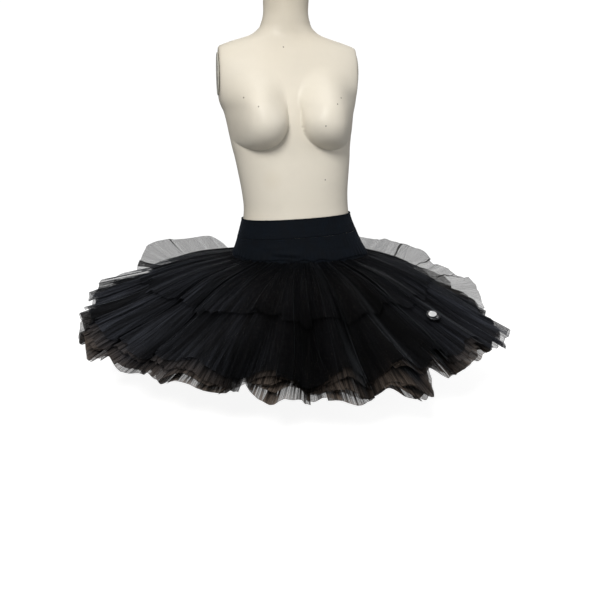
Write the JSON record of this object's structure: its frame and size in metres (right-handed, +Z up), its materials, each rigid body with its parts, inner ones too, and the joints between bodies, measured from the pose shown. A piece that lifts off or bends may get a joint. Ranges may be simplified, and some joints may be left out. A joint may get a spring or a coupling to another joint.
{
  "type": "tutu skirt on limbless dress form",
  "caption": "Gathered stiff-net tutu skirt with a fitted stretch basque and elastic waistband, worn on a smooth limbless dress form with a flat base.",
  "frame": {"origin": "centre of the dress form's flat base, on the surface it stands on", "axes": "+Z up; -Y is the way the form faces; +X is the wearer's left"},
  "size_m": [0.9187, 0.9186, 0.83],
  "materials": {
    "form": "glossy off-white, slightly scuffed and yellowed",
    "arm_plate": "satin grey",
    "knit": "matte blue-black stretch knit",
    "net": "stiff open net, see-through where it is one layer deep",
    "stone": "clear, faceted, silver-backed"
  },
  "bodies": {
    "root": {"form": "form", "arm_plate_left": "arm_plate", "arm_plate_right": "arm_plate", "waistband": "knit", "basque_front": "knit", "basque_back": "knit", "hip_yoke": "knit", "net_tier_1": "net", "net_tier_2": "net", "net_tier_3": "net", "net_tier_4": "net", "net_tier_5": "net", "net_tier_6": "net", "net_tier_7": "net", "stone": "stone"}
  },
  "joints": []
}
